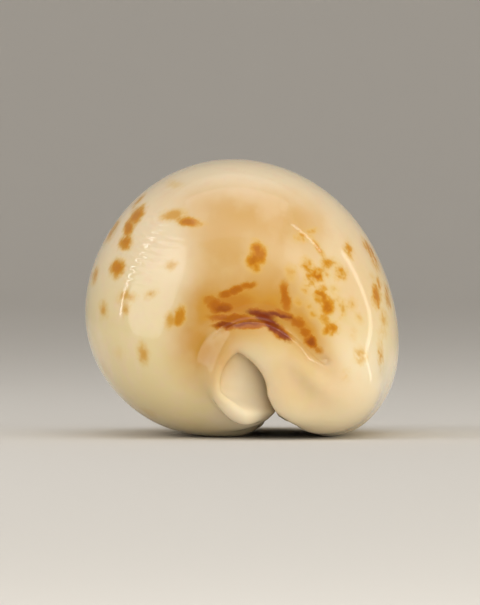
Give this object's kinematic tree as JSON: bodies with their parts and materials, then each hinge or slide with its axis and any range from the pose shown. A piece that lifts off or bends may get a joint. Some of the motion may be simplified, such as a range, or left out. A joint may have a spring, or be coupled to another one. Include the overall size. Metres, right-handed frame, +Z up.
{
  "type": "cowrie shell",
  "caption": "Glossy cream cowrie shell with amber-brown blotches: domed back, thick rounded margins, hollow inside, with a long narrow toothed slit along its base.",
  "frame": {"origin": "middle of the footprint, on the surface that the shell rests on", "axes": "+Z up through the back, +Y towards the front (anterior) end, -Y towards the spire (posterior) end, +X towards the outer lip's side"},
  "size_m": [0.0489, 0.0703, 0.043],
  "materials": {
    "enamel": "natural shell enamel, glossy, cream shading to peach, with soft-edged amber and brown blotches"
  },
  "bodies": {
    "root": {"shell": "enamel"}
  },
  "joints": []
}
